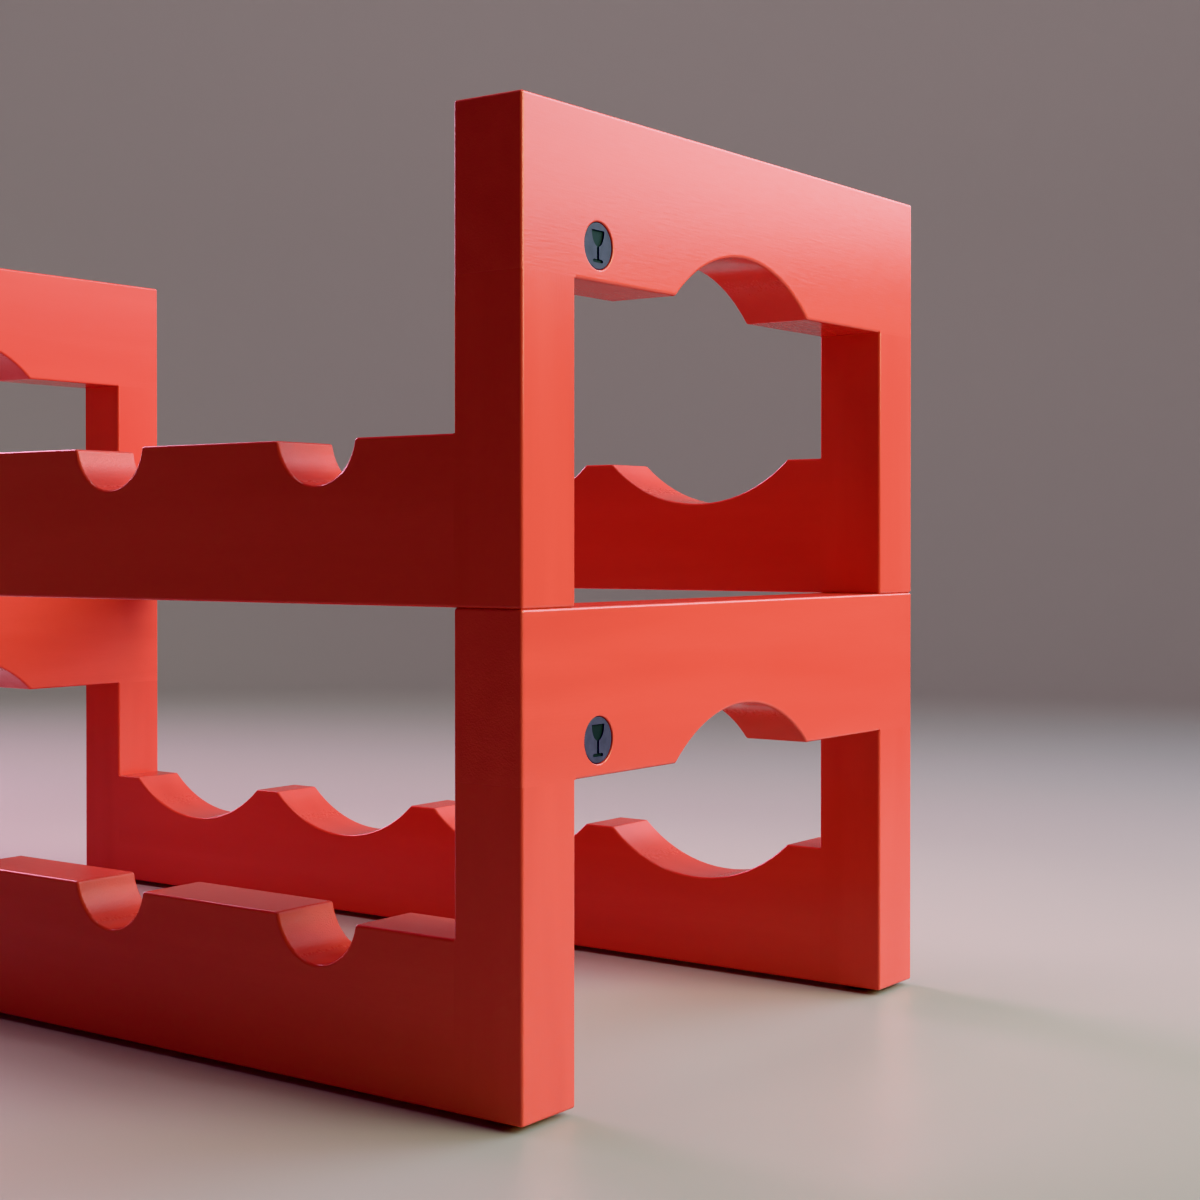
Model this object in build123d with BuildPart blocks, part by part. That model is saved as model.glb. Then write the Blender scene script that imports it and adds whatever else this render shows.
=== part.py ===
from build123d import *

import os

# Stackable wine rack: two identical lacquered beech modules, one standing on the other.
# Each module lays four bottles on their sides, necks in the front rail and bodies in the
# rear rail. The frame's origin is on the ground under the middle of the rack:
# +X along the rails to the end that carries the badges, -Y to the front (necks), +Z up.
# All lengths are in millimetres.

# --- Driving dimensions ---

board_thickness = 26.0  # every board and post of the rack
rack_depth = 245.0  # front face of the neck rail to rear face of the body rail
module_height = 151.0
beam_height = 52.0
rail_height = 52.0

slots_per_module = 4
end_slot_inset = 83.0  # end of the rack to the middle of its first bottle
slot_pitch = 98.0

neck_notch_radius = 17.0
neck_notch_depth = 14.6
body_notch_radius = 61.0  # the arch under each beam is cut to the same curve
body_notch_depth = 16.8

edge_radius = 1.0  # router pass along every edge that stays exposed
ridge_radius = 1.2  # where a notch or an arch runs out into a flat edge

beam_dowel_diameter = 6.0
beam_dowel_length = 40.0
beam_dowel_spacing = 12.0
rail_dowel_diameter = 8.0
rail_dowel_length = 40.0
rail_dowel_in_post = 16.0
rail_dowel_heights = (18.0, 34.0)
dowel_end_gap = 1.0  # room for glue at each end of a dowel
dowel_chamfer = 0.8

stacking_pin_diameter = 8.0
stacking_pin_length = 20.0
stacking_pin_chamfer = 1.0
stacking_hole_depth = 11.0
stacking_clearance = 0.05  # on the radius, in the holes under the posts

foot_diameter = 16.0
foot_height = 2.0
foot_stem_length = 10.0
foot_edge_radius = 0.6

badge_diameter = 14.5
badge_thickness = 2.4
badge_inset = 0.4  # the badge sits this far below the face of the beam
badge_gap = 0.1  # on the radius, between badge and recess
badge_from_front = 38.0
badge_height = 110.0  # above the underside of its module
badge_rim_radius = 0.4
recess_rim_radius = 0.5  # round the mouth of the badge's recess
mark_depth = 0.5

# --- Sizes that follow from them ---

rack_length = 2 * end_slot_inset + (slots_per_module - 1) * slot_pitch
rail_length = rack_length - 2 * board_thickness
post_height = module_height - beam_height
end_frame_x = (rack_length - board_thickness) / 2  # middle of an end frame
rail_y = (rack_depth - board_thickness) / 2  # middle of a rail and of the posts beside it

lower_base_z = foot_height
upper_base_z = foot_height + module_height
post_bottom_hole_radius = stacking_pin_diameter / 2 + stacking_clearance

os.makedirs("parts", exist_ok=True)


def save(finished, node):
    """Label a finished sub-part and write it under its node's name."""
    finished.label = node
    export_step(finished, f"parts/{node}.step")


def drill(mouth, way_out, radius, depth):
    """Blind round hole in the current part, from its mouth; way_out points out of it."""
    with Locations(Plane(origin=mouth, z_dir=way_out)):
        Hole(radius=radius, depth=depth)


def make_post(node, x_side, y_side, base_z):
    """Square post of an end frame: x_side +1 is the right end, y_side -1 is the front."""
    post_x = x_side * end_frame_x
    post_y = y_side * rail_y
    top_z = base_z + post_height
    inner_x = post_x - x_side * board_thickness / 2
    with BuildPart() as post:
        # Foot of the post: the rail butts against its inner side, so that side stays square.
        with BuildSketch(Plane.XY.offset(base_z)):
            with Locations((post_x, post_y)):
                Rectangle(board_thickness, board_thickness)
        extrude(amount=rail_height)
        from_outside = x_side > 0
        outer_corners = post.edges().filter_by(Axis.Z).sort_by(Axis.X, reverse=from_outside)[:2]
        bottom_face = post.faces().sort_by(Axis.Z)[0]
        bottom_rims = bottom_face.edges().sort_by(Axis.X, reverse=from_outside)[:3]
        fillet(outer_corners + bottom_rims, radius=edge_radius)

        # Above the rail the post is free on all four sides.
        with BuildSketch(Plane.XY.offset(base_z + rail_height)):
            with Locations((post_x, post_y)):
                RectangleRounded(board_thickness, board_thickness, edge_radius)
        extrude(amount=post_height - rail_height)

        drill((post_x, post_y, base_z), (0, 0, -1), post_bottom_hole_radius, stacking_hole_depth)
        for offset in (-beam_dowel_spacing / 2, beam_dowel_spacing / 2):
            drill(
                (post_x, post_y + offset, top_z),
                (0, 0, 1),
                beam_dowel_diameter / 2,
                beam_dowel_length / 2 + dowel_end_gap,
            )
        for height in rail_dowel_heights:
            drill(
                (inner_x, post_y, base_z + height),
                (-x_side, 0, 0),
                rail_dowel_diameter / 2,
                rail_dowel_in_post + dowel_end_gap,
            )
    save(post.part, node)


def make_beam(node, x_side, base_z, badged):
    """Top beam of an end frame: it caps both posts and is arched between them."""
    beam_x = x_side * end_frame_x
    inner_x = beam_x - board_thickness / 2
    underside_z = base_z + post_height
    top_z = base_z + module_height
    clear_span = rack_depth - 2 * board_thickness
    with BuildPart() as beam:
        # Stretch between the posts, with the arch cut into its underside.
        with BuildSketch(Plane.YZ.offset(inner_x)) as profile:
            with Locations((0, (underside_z + top_z) / 2)):
                Rectangle(clear_span, beam_height)
            with Locations((0, underside_z + body_notch_depth - body_notch_radius)):
                Circle(body_notch_radius, mode=Mode.SUBTRACT)
            arch_ends = profile.vertices().group_by(Axis.Y)[0].sort_by(Axis.X)[1:-1]
            fillet(arch_ends, radius=ridge_radius)
        extrude(amount=board_thickness)
        side_faces = beam.faces().filter_by(Axis.X)
        for side_face in side_faces:
            under_rims = side_face.edges().filter_by(Axis.Z, reverse=True).sort_by(Axis.Z)[:-1]
            fillet(under_rims, radius=edge_radius)

        # Both ends, square underneath where they sit on the posts.
        with BuildSketch(Plane.XY.offset(underside_z)):
            with Locations((beam_x, -rail_y), (beam_x, rail_y)):
                Rectangle(board_thickness, board_thickness)
        extrude(amount=beam_height)
        end_corners = beam.edges().filter_by(Axis.Z).group_by(SortBy.LENGTH)[-1]
        top_rims = beam.faces().sort_by(Axis.Z)[-1].edges()
        fillet(end_corners + top_rims, radius=edge_radius)

        for y_side in (-1, 1):
            drill(
                (beam_x, y_side * rail_y, top_z),
                (0, 0, 1),
                stacking_pin_diameter / 2,
                stacking_hole_depth,
            )
            for offset in (-beam_dowel_spacing / 2, beam_dowel_spacing / 2):
                drill(
                    (beam_x, y_side * rail_y + offset, underside_z),
                    (0, 0, -1),
                    beam_dowel_diameter / 2,
                    beam_dowel_length / 2 + dowel_end_gap,
                )
        if badged:
            drill(
                (rack_length / 2, badge_from_front - rack_depth / 2, base_z + badge_height),
                (1, 0, 0),
                badge_diameter / 2 + badge_gap,
                badge_inset + badge_thickness,
            )
            outer_face = beam.faces().sort_by(Axis.X)[-1]
            fillet(outer_face.inner_wires()[0].edges(), radius=recess_rim_radius)
    save(beam.part, node)


def make_rail(node, y_side, base_z, notch_radius, notch_depth):
    """Long rail between the end frames, with one round notch for each bottle."""
    notch_centre_z = base_z + rail_height - notch_depth + notch_radius
    rear_face_y = y_side * rail_y + board_thickness / 2
    with BuildPart() as rail:
        with BuildSketch(Plane.XZ.offset(-rear_face_y)) as profile:
            with Locations((0, base_z + rail_height / 2)):
                Rectangle(rail_length, rail_height)
            with Locations((0, notch_centre_z)):
                with GridLocations(slot_pitch, 0, slots_per_module, 1):
                    Circle(notch_radius, mode=Mode.SUBTRACT)
            ridges = profile.vertices().group_by(Axis.Y)[-1].sort_by(Axis.X)[1:-1]
            fillet(ridges, radius=ridge_radius)
        extrude(amount=board_thickness)
        side_faces = rail.faces().filter_by(Axis.Y)
        for side_face in side_faces:
            long_rims = side_face.edges().filter_by(Axis.Z, reverse=True)
            fillet(long_rims, radius=edge_radius)

        for x_side in (-1, 1):
            for height in rail_dowel_heights:
                drill(
                    (x_side * rail_length / 2, y_side * rail_y, base_z + height),
                    (x_side, 0, 0),
                    rail_dowel_diameter / 2,
                    rail_dowel_length - rail_dowel_in_post + dowel_end_gap,
                )
    save(rail.part, node)


def make_beam_dowels(node, base_z):
    """Two upright dowels in each of the four joints between a post and a beam."""
    with BuildPart() as dowels:
        with BuildSketch(Plane.XY.offset(base_z + post_height - beam_dowel_length / 2)):
            with GridLocations(2 * end_frame_x, 2 * rail_y, 2, 2):
                with GridLocations(0, beam_dowel_spacing, 1, 2):
                    Circle(beam_dowel_diameter / 2)
        extrude(amount=beam_dowel_length)
        chamfer(dowels.edges().filter_by(GeomType.CIRCLE), length=dowel_chamfer)
    save(dowels.part, node)


def make_rail_dowels(node, base_z):
    """Two level dowels in each of the four joints between a rail and a post."""
    inner_end = rail_length / 2 + rail_dowel_in_post - rail_dowel_length
    outer_end = rail_length / 2 + rail_dowel_in_post
    with BuildPart() as dowels:
        for start_x in (inner_end, -outer_end):
            with BuildSketch(Plane.YZ.offset(start_x)):
                for height in rail_dowel_heights:
                    with Locations((-rail_y, base_z + height), (rail_y, base_z + height)):
                        Circle(rail_dowel_diameter / 2)
            extrude(amount=rail_dowel_length)
        chamfer(dowels.edges().filter_by(GeomType.CIRCLE), length=dowel_chamfer)
    save(dowels.part, node)


def make_badge(node, base_z):
    """Round moulded badge, glued into the right beam, with a sunk wine glass as its mark."""
    front_x = rack_length / 2 - badge_inset
    badge_middle = (badge_from_front - rack_depth / 2, base_z + badge_height)
    glass_width = 6.4
    bowl_depth = 5.0
    glass_top = 4.8
    stem_width = 1.0
    foot_level = -4.6
    with BuildPart() as badge:
        with BuildSketch(Plane.YZ.offset(front_x - badge_thickness)):
            with Locations(badge_middle):
                Circle(badge_diameter / 2)
        extrude(amount=badge_thickness)
        fillet(badge.faces().sort_by(Axis.X)[-1].edges(), radius=badge_rim_radius)

        with BuildSketch(Plane.YZ.offset(front_x)):
            with Locations(badge_middle):
                with Locations((0, glass_top)):
                    Ellipse(glass_width / 2, bowl_depth)
                with Locations((0, glass_top + bowl_depth / 2)):
                    Rectangle(glass_width, bowl_depth, mode=Mode.SUBTRACT)
                with Locations((0, (glass_top - bowl_depth + foot_level) / 2)):
                    Rectangle(stem_width, glass_top - bowl_depth - foot_level + stem_width)
                with Locations((0, foot_level)):
                    SlotOverall(glass_width * 0.8, stem_width)
        extrude(amount=-mark_depth, mode=Mode.SUBTRACT)
    save(badge.part, node)


def make_stacking_pins():
    """Four hardwood pins, half in the lower beams and half standing up into the upper posts."""
    with BuildPart() as pins:
        with BuildSketch(Plane.XY.offset(upper_base_z - stacking_pin_length / 2)):
            with GridLocations(2 * end_frame_x, 2 * rail_y, 2, 2):
                Circle(stacking_pin_diameter / 2)
        extrude(amount=stacking_pin_length)
        chamfer(pins.edges().filter_by(GeomType.CIRCLE), length=stacking_pin_chamfer)
    save(pins.part, "stacking_pins")


def make_rubber_feet():
    """Four rubber feet, each a disc with a stem plugged into the hole under a lower post."""
    with BuildPart() as feet:
        with BuildSketch():
            with GridLocations(2 * end_frame_x, 2 * rail_y, 2, 2):
                Circle(foot_diameter / 2)
        extrude(amount=foot_height)
        fillet(feet.edges().group_by(Axis.Z)[0], radius=foot_edge_radius)
        with BuildSketch(Plane.XY.offset(foot_height)):
            with GridLocations(2 * end_frame_x, 2 * rail_y, 2, 2):
                Circle(post_bottom_hole_radius)
        extrude(amount=foot_stem_length)
    save(feet.part, "rubber_feet")


for module, module_base_z in (("lower", lower_base_z), ("upper", upper_base_z)):
    for end, end_side in (("left", -1), ("right", 1)):
        make_post(f"{module}_{end}_front_post", end_side, -1, module_base_z)
        make_post(f"{module}_{end}_rear_post", end_side, 1, module_base_z)
        make_beam(f"{module}_{end}_beam", end_side, module_base_z, badged=end == "right")
    make_rail(f"{module}_neck_rail", -1, module_base_z, neck_notch_radius, neck_notch_depth)
    make_rail(f"{module}_body_rail", 1, module_base_z, body_notch_radius, body_notch_depth)
    make_beam_dowels(f"{module}_beam_dowels", module_base_z)
    make_rail_dowels(f"{module}_rail_dowels", module_base_z)
    make_badge(f"{module}_badge", module_base_z)
make_stacking_pins()
make_rubber_feet()
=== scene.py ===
import math

import bmesh
import bpy
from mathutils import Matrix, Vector


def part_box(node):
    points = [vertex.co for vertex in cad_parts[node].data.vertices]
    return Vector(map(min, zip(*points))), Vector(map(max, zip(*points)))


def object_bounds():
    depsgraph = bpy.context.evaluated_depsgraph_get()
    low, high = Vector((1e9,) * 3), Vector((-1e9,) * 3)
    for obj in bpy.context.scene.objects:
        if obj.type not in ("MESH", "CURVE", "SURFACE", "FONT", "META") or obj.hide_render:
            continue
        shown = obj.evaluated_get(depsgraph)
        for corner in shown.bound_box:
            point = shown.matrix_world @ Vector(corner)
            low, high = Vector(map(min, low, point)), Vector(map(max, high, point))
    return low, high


# Looks for the stacked wine rack. Everything is in metres, in the CAD model's frame:
# +X to the end with the badges, -Y to the front (necks), +Z up, the ground at z = 0.

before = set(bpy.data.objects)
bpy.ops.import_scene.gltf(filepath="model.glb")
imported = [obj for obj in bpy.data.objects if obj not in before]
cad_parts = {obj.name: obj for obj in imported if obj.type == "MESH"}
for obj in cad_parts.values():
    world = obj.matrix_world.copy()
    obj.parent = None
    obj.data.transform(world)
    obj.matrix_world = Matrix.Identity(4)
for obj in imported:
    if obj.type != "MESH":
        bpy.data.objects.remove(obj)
cad_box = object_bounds()
MM = 0.001

# --- Node helpers ---


def new_material(name):
    """An empty node material with its Principled shader; returns material, tree and shader."""
    material = bpy.data.materials.new(name)
    material.use_nodes = True
    tree = material.node_tree
    return material, tree, tree.nodes["Principled BSDF"]


def add_node(tree, kind, **settings):
    """A node of that kind, with its settings."""
    node = tree.nodes.new(kind)
    for key, value in settings.items():
        setattr(node, key, value)
    return node


def object_point(tree, scale):
    """The point on the piece, in metres, stretched by scale."""
    place = add_node(tree, "ShaderNodeTexCoord")
    mapping = add_node(tree, "ShaderNodeMapping")
    mapping.inputs["Scale"].default_value = scale
    tree.links.new(place.outputs["Object"], mapping.inputs["Vector"])
    return mapping.outputs["Vector"]


def noise(tree, vector, scale=1.0, detail=2.0, roughness=0.5, distortion=0.0):
    """A noise texture; returns its value output."""
    texture = add_node(tree, "ShaderNodeTexNoise")
    texture.inputs["Scale"].default_value = scale
    texture.inputs["Detail"].default_value = detail
    texture.inputs["Roughness"].default_value = roughness
    texture.inputs["Distortion"].default_value = distortion
    tree.links.new(vector, texture.inputs["Vector"])
    return texture.outputs["Fac"]


def ramp(tree, value, stops):
    """A colour ramp through stops, each (position, colour)."""
    node = add_node(tree, "ShaderNodeValToRGB")
    elements = node.color_ramp.elements
    elements[0].position, elements[0].color = stops[0]
    elements[1].position, elements[1].color = stops[-1]
    for position, colour in stops[1:-1]:
        elements.new(position).color = colour
    tree.links.new(value, node.inputs["Fac"])
    return node.outputs["Color"]


def to_range(tree, value, low, high, from_low=0.3, from_high=0.7):
    """The value, mapped from the middle of a noise's spread to low..high."""
    node = add_node(tree, "ShaderNodeMapRange")
    node.inputs["From Min"].default_value = from_low
    node.inputs["From Max"].default_value = from_high
    node.inputs["To Min"].default_value = low
    node.inputs["To Max"].default_value = high
    tree.links.new(value, node.inputs["Value"])
    return node.outputs["Result"]


def mix_colour(tree, factor, first, second):
    """Mixes two colours; each may be an output or a plain colour."""
    node = add_node(tree, "ShaderNodeMix", data_type="RGBA")
    # The node has a set of sockets for each data type; these are the ones for colours.
    factor_in, a_in, b_in, colour_out = node.inputs[0], node.inputs[6], node.inputs[7], node.outputs[2]
    for socket, value in ((factor_in, factor), (a_in, first), (b_in, second)):
        if isinstance(value, bpy.types.NodeSocket):
            tree.links.new(value, socket)
        else:
            socket.default_value = value
    return colour_out


def bump(tree, height, distance, strength=1.0, normal=None):
    """Bump of that depth in metres, on top of another bump if one is given."""
    node = add_node(tree, "ShaderNodeBump")
    node.inputs["Strength"].default_value = strength
    node.inputs["Distance"].default_value = distance
    tree.links.new(height, node.inputs["Height"])
    if normal is not None:
        tree.links.new(normal, node.inputs["Normal"])
    return node.outputs["Normal"]


def multiply(tree, first, second):
    """The product of two values."""
    node = add_node(tree, "ShaderNodeMath", operation="MULTIPLY")
    tree.links.new(first, node.inputs[0])
    tree.links.new(second, node.inputs[1])
    return node.outputs["Value"]


def end_grain_share(tree, grain_axis):
    """1 where the surface is cut across the grain, 0 where it runs along it."""
    place = add_node(tree, "ShaderNodeTexCoord")
    parts = add_node(tree, "ShaderNodeSeparateXYZ")
    size = add_node(tree, "ShaderNodeMath", operation="ABSOLUTE")
    tree.links.new(place.outputs["Normal"], parts.inputs["Vector"])
    tree.links.new(parts.outputs[grain_axis], size.inputs[0])
    return to_range(tree, size.outputs["Value"], 0.0, 1.0, 0.2, 0.75)


# --- Materials of the rack ---

LACQUER = (0.77, 0.100, 0.088, 1)
LACQUER_DEEP = (0.71, 0.084, 0.074, 1)
LACQUER_ROUGHNESS = (0.15, 0.22)
END_GRAIN_DULLNESS = 0.22  # what end grain adds to the lacquer's roughness
GRAIN_RELIEF = 0.03 * MM
PEEL_RELIEF = 0.02 * MM
PORE_RELIEF = 0.10 * MM
BEECH_LIGHT = (0.62, 0.42, 0.25, 1)
BEECH_DARK = (0.42, 0.25, 0.13, 1)
BEECH_RELIEF = 0.04 * MM
BADGE_LIGHT = (0.072, 0.051, 0.112, 1)
BADGE_DARK = (0.050, 0.035, 0.078, 1)
BADGE_RELIEF = 0.015 * MM
MARK_FLOOR = (0.006, 0.007, 0.012, 1)
MARK_TOP, MARK_BOTTOM = 0.15 * MM, 0.45 * MM  # how far below the badge's face the mark darkens
RUBBER_LIGHT = (0.030, 0.029, 0.028, 1)
RUBBER_DARK = (0.012, 0.012, 0.013, 1)
RUBBER_RELIEF = 0.03 * MM


def lacquered_wood(grain_axis):
    """Satin red lacquer over beech: the grain telegraphs faintly along grain_axis (0, 1, 2)."""
    material, tree, shader = new_material("red_lacquer_" + "xyz"[grain_axis])
    along, across = 110.0, 1500.0
    stretched = [across, across, across]
    stretched[grain_axis] = along
    grain = noise(tree, object_point(tree, stretched), detail=3.0, roughness=0.6)
    broad = [60.0, 60.0, 60.0]
    broad[grain_axis] = 6.0
    bands = noise(tree, object_point(tree, broad), detail=2.0, distortion=0.4)
    peel = noise(tree, object_point(tree, (1.0, 1.0, 1.0)), scale=1300.0, detail=2.0)
    pores = noise(tree, object_point(tree, (1.0, 1.0, 1.0)), scale=1700.0, detail=1.0)
    end_grain = end_grain_share(tree, grain_axis)

    colour = ramp(tree, bands, [(0.3, LACQUER_DEEP), (0.7, LACQUER)])
    colour = mix_colour(tree, to_range(tree, grain, 0.0, 0.25), colour, LACQUER_DEEP)
    tree.links.new(colour, shader.inputs["Base Color"])
    duller = add_node(tree, "ShaderNodeMath", operation="MULTIPLY_ADD")
    tree.links.new(end_grain, duller.inputs[0])
    duller.inputs[1].default_value = END_GRAIN_DULLNESS
    tree.links.new(to_range(tree, grain, *LACQUER_ROUGHNESS), duller.inputs[2])
    tree.links.new(duller.outputs["Value"], shader.inputs["Roughness"])
    relief = bump(tree, grain, GRAIN_RELIEF, strength=0.8)
    relief = bump(tree, peel, PEEL_RELIEF, strength=0.6, normal=relief)
    relief = bump(tree, multiply(tree, pores, end_grain), PORE_RELIEF, normal=relief)
    tree.links.new(relief, shader.inputs["Normal"])
    return material


def bare_beech():
    """Turned beech of the dowels and pins, with its short dark flecks."""
    material, tree, shader = new_material("bare_beech")
    fleck = noise(tree, object_point(tree, (2200.0, 2200.0, 260.0)), detail=3.0, roughness=0.65)
    bands = noise(tree, object_point(tree, (350.0, 350.0, 20.0)), detail=2.0)
    colour = ramp(tree, bands, [(0.3, BEECH_DARK), (0.65, BEECH_LIGHT)])
    colour = mix_colour(tree, to_range(tree, fleck, 0.0, 0.6, 0.5, 0.75), colour, BEECH_DARK)
    tree.links.new(colour, shader.inputs["Base Color"])
    tree.links.new(to_range(tree, fleck, 0.5, 0.68), shader.inputs["Roughness"])
    tree.links.new(bump(tree, fleck, BEECH_RELIEF), shader.inputs["Normal"])
    return material


def badge_plastic():
    """Slate-dark moulded plastic, spark-eroded, with the floor of its sunk mark darker still."""
    material, tree, shader = new_material("badge_plastic")
    point = object_point(tree, (1.0, 1.0, 1.0))
    fine = noise(tree, point, scale=4200.0, detail=2.0)
    cloud = noise(tree, point, scale=300.0, detail=2.0)
    colour = ramp(tree, cloud, [(0.3, BADGE_DARK), (0.7, BADGE_LIGHT)])
    face_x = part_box("upper_badge")[1].x
    place = add_node(tree, "ShaderNodeTexCoord")
    parts = add_node(tree, "ShaderNodeSeparateXYZ")
    tree.links.new(place.outputs["Object"], parts.inputs["Vector"])
    sunk = to_range(tree, parts.outputs["X"], 1.0, 0.0, face_x - MARK_BOTTOM, face_x - MARK_TOP)
    colour = mix_colour(tree, sunk, colour, MARK_FLOOR)
    tree.links.new(colour, shader.inputs["Base Color"])
    tree.links.new(to_range(tree, fine, 0.55, 0.68), shader.inputs["Roughness"])
    tree.links.new(bump(tree, fine, BADGE_RELIEF), shader.inputs["Normal"])
    shader.inputs["Specular IOR Level"].default_value = 0.3
    return material


def foot_rubber():
    """Black rubber, dull, with a slight bloom."""
    material, tree, shader = new_material("foot_rubber")
    point = object_point(tree, (1.0, 1.0, 1.0))
    fine = noise(tree, point, scale=2600.0, detail=3.0)
    bloom = noise(tree, point, scale=160.0, detail=2.0)
    colour = ramp(tree, bloom, [(0.35, RUBBER_DARK), (0.7, RUBBER_LIGHT)])
    tree.links.new(colour, shader.inputs["Base Color"])
    tree.links.new(to_range(tree, fine, 0.62, 0.85), shader.inputs["Roughness"])
    tree.links.new(bump(tree, fine, RUBBER_RELIEF), shader.inputs["Normal"])
    return material


def dress_nodes():
    """Gives every CAD node its material; lacquered boards by the way their grain runs."""
    along_x, along_y, along_z = (lacquered_wood(axis) for axis in range(3))
    by_ending = {
        "rail": along_x,
        "beam": along_y,
        "post": along_z,
        "badge": badge_plastic(),
        "dowels": bare_beech(),
        "feet": foot_rubber(),
    }
    by_ending["pins"] = by_ending["dowels"]
    for name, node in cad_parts.items():
        node.data.materials.clear()
        node.data.materials.append(by_ending[name.split("_")[-1]])


# --- Stage: a round pale floor that turns up into a plain grey wall ---

FLOOR_RADIUS = 1.55
SWEEP_RADIUS = 0.65
SWEEP_STEPS = 32
TURN_STEPS = 96
WALL_TOP = 2.4
FLOOR_COLOUR = (0.48, 0.39, 0.40, 1)
WALL_COLOUR = (0.53, 0.51, 0.50, 1)
FLOOR_ROUGHNESS, WALL_ROUGHNESS = 0.38, 0.70
FADE_START, FADE_END = 0.5, 1.3  # distances from the origin between which floor fades to wall


def add_stage():
    """A bowl-shaped studio sweep round the rack, the same from every side."""
    outline = [(0.0, 0.0), (FLOOR_RADIUS, 0.0)]
    for step in range(1, SWEEP_STEPS + 1):
        angle = math.radians(90) * step / SWEEP_STEPS
        reach = FLOOR_RADIUS + SWEEP_RADIUS * math.sin(angle)
        outline.append((reach, SWEEP_RADIUS * (1 - math.cos(angle))))
    outline.append((FLOOR_RADIUS + SWEEP_RADIUS, WALL_TOP))
    mesh = bmesh.new()
    points = [mesh.verts.new((reach, 0, height)) for reach, height in outline]
    edges = [mesh.edges.new(pair) for pair in zip(points, points[1:])]
    bmesh.ops.spin(
        mesh, geom=points + edges, axis=(0, 0, 1), cent=(0, 0, 0), angle=math.tau, steps=TURN_STEPS
    )
    bmesh.ops.remove_doubles(mesh, verts=mesh.verts, dist=0.01 * MM)
    bmesh.ops.recalc_face_normals(mesh, faces=mesh.faces)
    data = bpy.data.meshes.new("studio_sweep")
    mesh.to_mesh(data)
    mesh.free()
    data.polygons.foreach_set("use_smooth", [True] * len(data.polygons))
    sweep = bpy.data.objects.new("studio_sweep", data)
    bpy.context.scene.collection.objects.link(sweep)

    material, tree, shader = new_material("studio_sweep")
    place = add_node(tree, "ShaderNodeTexCoord")
    reach = add_node(tree, "ShaderNodeVectorMath", operation="LENGTH")
    tree.links.new(place.outputs["Object"], reach.inputs[0])
    fade = to_range(tree, reach.outputs["Value"], 0.0, 1.0, FADE_START, FADE_END)
    colour = mix_colour(tree, fade, FLOOR_COLOUR, WALL_COLOUR)
    tree.links.new(colour, shader.inputs["Base Color"])
    tree.links.new(to_range(tree, fade, FLOOR_ROUGHNESS, WALL_ROUGHNESS, 0.0, 1.0), shader.inputs["Roughness"])
    shader.inputs["Specular IOR Level"].default_value = 0.3
    data.materials.append(material)


# --- Light and camera ---


def add_light(name, place, target, size, power, colour, spread):
    """A soft rectangular light at place, facing target, its beam spread degrees wide."""
    data = bpy.data.lights.new(name, "AREA")
    data.shape = "RECTANGLE"
    data.size, data.size_y = size
    data.energy = power
    data.color = colour
    data.spread = math.radians(spread)
    light = bpy.data.objects.new(name, data)
    light.location = place
    light.rotation_euler = (Vector(target) - Vector(place)).to_track_quat("-Z", "Y").to_euler()
    light.visible_camera = False
    bpy.context.scene.collection.objects.link(light)


def around(azimuth, elevation, distance):
    """A place that far from the rack: azimuth turns from +X towards +Y, both in degrees."""
    turn, rise = math.radians(azimuth), math.radians(elevation)
    level = distance * math.cos(rise)
    return (level * math.cos(turn), level * math.sin(turn), distance * math.sin(rise))


def add_lights():
    """A window behind and to the right, a key light facing the right end, fills, and a dim room."""
    low, high = cad_box
    middle = (low + high) / 2
    add_light("window", around(59, 33, 1.75), middle, (1.3, 1.0), 4.8, (0.48, 0.86, 1.0), 70)
    add_light("key", around(13, 30, 1.5), middle, (0.9, 0.9), 5.2, (0.74, 1.0, 0.66), 70)
    add_light("overhead", around(20, 80, 1.8), middle, (1.2, 1.2), 0.3, (1.0, 0.75, 0.90), 90)
    add_light("left_fill", around(170, 30, 1.8), middle, (1.0, 1.0), 4.5, (1.0, 0.56, 0.84), 60)
    add_light("backdrop", (0.1, 0.1, 1.6), (-1.25, 1.8, 0.35), (1.4, 0.9), 19.0, (1.0, 0.88, 0.88), 180)
    world = bpy.data.worlds.new("dim_room")
    world.use_nodes = True
    background = world.node_tree.nodes["Background"]
    background.inputs["Color"].default_value = (0.8, 0.55, 1.0, 1)
    background.inputs["Strength"].default_value = 0.05
    bpy.context.scene.world = world


# The camera stands off the rack's near corner, a little above the joint between the modules.
CAMERA_FROM_CORNER = Vector((356.5, -451.5, 19.3)) * MM
CAMERA_AZIMUTH = 36.04  # degrees, turning left from +Y
CAMERA_PITCH = -0.40  # degrees
SENSOR_WIDTH = 36.0  # sensor and lens in millimetres
LENS = 59.44
SHIFT_Y = -0.036


def add_camera():
    """The photo's viewpoint, and the view transform its colours are shown with."""
    low, high = cad_box
    joint_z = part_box("lower_right_beam")[1].z
    data = bpy.data.cameras.new("camera")
    data.sensor_width = SENSOR_WIDTH
    data.lens = LENS
    data.shift_y = SHIFT_Y
    data.clip_start = 0.02
    camera = bpy.data.objects.new("camera", data)
    camera.location = Vector((high.x, low.y, joint_z)) + CAMERA_FROM_CORNER
    camera.rotation_euler = (math.radians(90 + CAMERA_PITCH), 0, math.radians(CAMERA_AZIMUTH))
    bpy.context.scene.collection.objects.link(camera)
    bpy.context.scene.camera = camera
    bpy.context.scene.view_settings.view_transform = "Khronos PBR Neutral"


dress_nodes()
add_stage()
add_lights()
add_camera()
